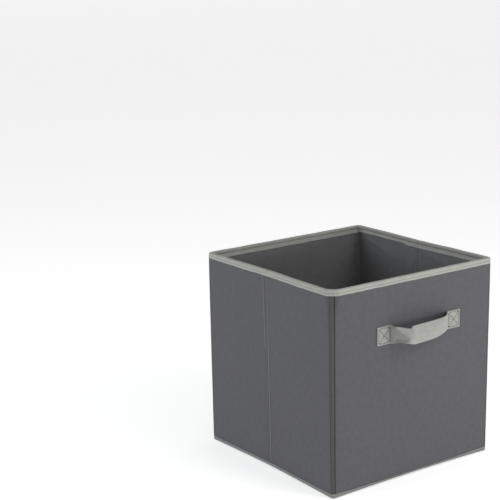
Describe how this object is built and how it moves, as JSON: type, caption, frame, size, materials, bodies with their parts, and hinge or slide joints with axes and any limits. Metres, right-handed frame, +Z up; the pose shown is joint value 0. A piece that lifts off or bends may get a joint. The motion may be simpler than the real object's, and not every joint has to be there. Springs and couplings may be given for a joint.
{
  "type": "fabric storage bin",
  "caption": "Square open-top collapsible fabric storage bin with bound rim, creased folding side walls, loose base insert and strap handle.",
  "frame": {"origin": "centre of the underside, on the surface the bin stands on", "axes": "+Z up, -Y towards the front wall that carries the handle, +X to the right as seen from the front"},
  "size_m": [0.276, 0.3017, 0.28],
  "materials": {
    "outer_fabric": "matt non-woven fabric, dark grey",
    "lining": "matt non-woven fabric, dark grey",
    "binding": "matt folded tape, light warm grey",
    "corner_tape": "matt folded tape, darker grey",
    "strap": "matt doubled strap, light warm grey",
    "board": "uncoated grey-brown board"
  },
  "bodies": {
    "back_wall": {"back_outer_fabric": "outer_fabric", "back_lining": "lining", "back_board": "board", "back_rim_binding": "binding", "back_bottom_hem": "binding", "rear_left_corner_tape": "corner_tape", "rear_right_corner_tape": "corner_tape", "bottom_cloth": "outer_fabric"},
    "left_rear": {"left_rear_outer_fabric": "outer_fabric", "left_rear_lining": "lining", "left_rear_board": "board", "left_rear_rim_binding": "binding", "left_rear_bottom_hem": "binding"},
    "left_front": {"left_front_outer_fabric": "outer_fabric", "left_front_lining": "lining", "left_front_board": "board", "left_front_rim_binding": "binding", "left_front_bottom_hem": "binding"},
    "front_wall": {"front_outer_fabric": "outer_fabric", "front_lining": "lining", "front_board": "board", "front_rim_binding": "binding", "front_bottom_hem": "binding", "front_left_corner_tape": "corner_tape", "front_right_corner_tape": "corner_tape", "handle_left_patch": "strap", "handle_right_patch": "strap", "handle_left_shoulder": "strap", "handle_right_shoulder": "strap"},
    "right_front": {"right_front_outer_fabric": "outer_fabric", "right_front_lining": "lining", "right_front_board": "board", "right_front_rim_binding": "binding", "right_front_bottom_hem": "binding"},
    "right_rear": {"right_rear_outer_fabric": "outer_fabric", "right_rear_lining": "lining", "right_rear_board": "board", "right_rear_rim_binding": "binding", "right_rear_bottom_hem": "binding"},
    "base_insert": {"base_board": "board", "base_cover": "lining", "base_pull_tab": "corner_tape"},
    "handle": {"handle_grip": "strap"}
  },
  "joints": [
    {"name": "fold", "type": "hinge", "parent": "back_wall", "child": "left_rear", "pos_m": [-0.13265, 0.13265, 0.14], "axis": [0, 0, 1], "range_deg": [0, 88], "deforming": ["front_bottom_hem", "left_rear_bottom_hem", "left_front_bottom_hem", "right_rear_bottom_hem", "right_front_bottom_hem", "bottom_cloth"]},
    {"name": "left_crease", "type": "hinge", "parent": "left_rear", "child": "left_front", "pos_m": [-0.1383, 0, 0.14], "axis": [0, 0, 1], "range_deg": [-176, 0]},
    {"name": "front_left_corner", "type": "hinge", "parent": "left_front", "child": "front_wall", "pos_m": [-0.13265, -0.13265, 0.14], "axis": [0, 0, 1], "range_deg": [0, 88]},
    {"name": "front_right_corner", "type": "hinge", "parent": "front_wall", "child": "right_front", "pos_m": [0.13265, -0.13265, 0.14], "axis": [0, 0, 1], "range_deg": [0, 88]},
    {"name": "back_right_corner", "type": "hinge", "parent": "back_wall", "child": "right_rear", "pos_m": [0.13265, 0.13265, 0.14], "axis": [0, 0, 1], "range_deg": [-88, 0]},
    {"name": "base_lift", "type": "slide", "parent": "back_wall", "child": "base_insert", "axis": [0, 0, 1], "range_m": [0, 0.29]},
    {"name": "handle_swing", "type": "hinge", "parent": "front_wall", "child": "handle", "pos_m": [0.008, -0.1373, 0.206], "axis": [1, 0, 0], "range_deg": [-40, 40], "deforming": ["handle_left_shoulder", "handle_right_shoulder"]}
  ],
  "couplings": [
    {"joint": "left_crease", "follows": "fold", "ratio": -2},
    {"joint": "front_left_corner", "follows": "fold", "ratio": 1},
    {"joint": "front_right_corner", "follows": "fold", "ratio": 1},
    {"joint": "back_right_corner", "follows": "fold", "ratio": -1}
  ]
}
